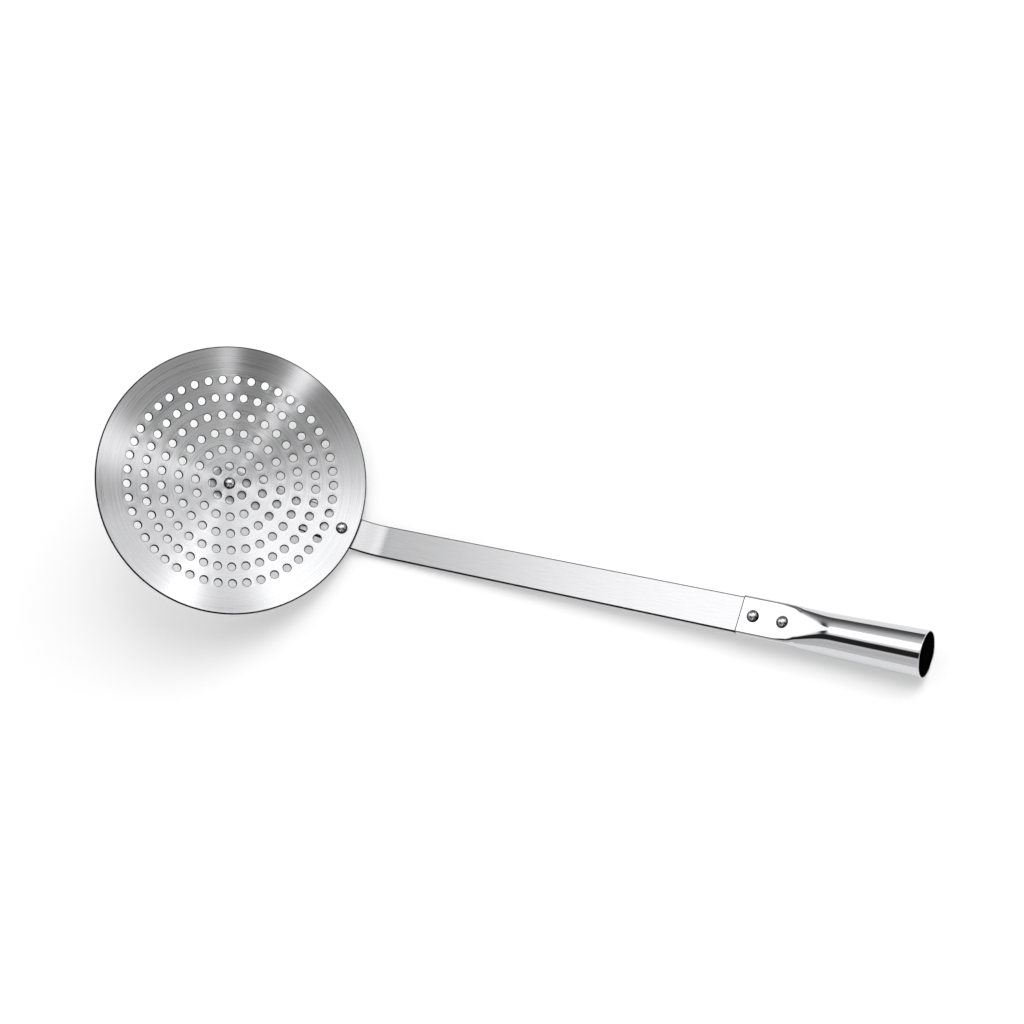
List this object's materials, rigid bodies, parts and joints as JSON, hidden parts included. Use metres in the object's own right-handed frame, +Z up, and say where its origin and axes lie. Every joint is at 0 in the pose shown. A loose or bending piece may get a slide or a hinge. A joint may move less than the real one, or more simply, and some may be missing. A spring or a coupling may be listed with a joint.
{
  "type": "skimmer",
  "caption": "Stainless kitchen skimmer: shallow round perforated dish riveted to a bent flat strap handle that ends in a round socket for a pole, for lifting food from hot liquid.",
  "frame": {"origin": "on the ground under the middle of the whole skimmer, lying face up on the strap's bend and the socket's mouth", "axes": "+X along the handle from the dish to the socket's mouth, +Y across the handle, +Z up, out of the dish's hollow side"},
  "size_m": [0.5472, 0.181, 0.1119],
  "materials": {
    "dish_steel": "spun and brushed in circles",
    "strap_steel": "satin",
    "socket_steel": "mirror polished",
    "rivet_steel": "polished"
  },
  "bodies": {
    "root": {"dish": "dish_steel", "strap": "strap_steel", "socket": "socket_steel", "centre_rivet": "rivet_steel", "rim_rivet": "rivet_steel", "socket_rivet_1": "rivet_steel", "socket_rivet_2": "rivet_steel"}
  },
  "joints": []
}
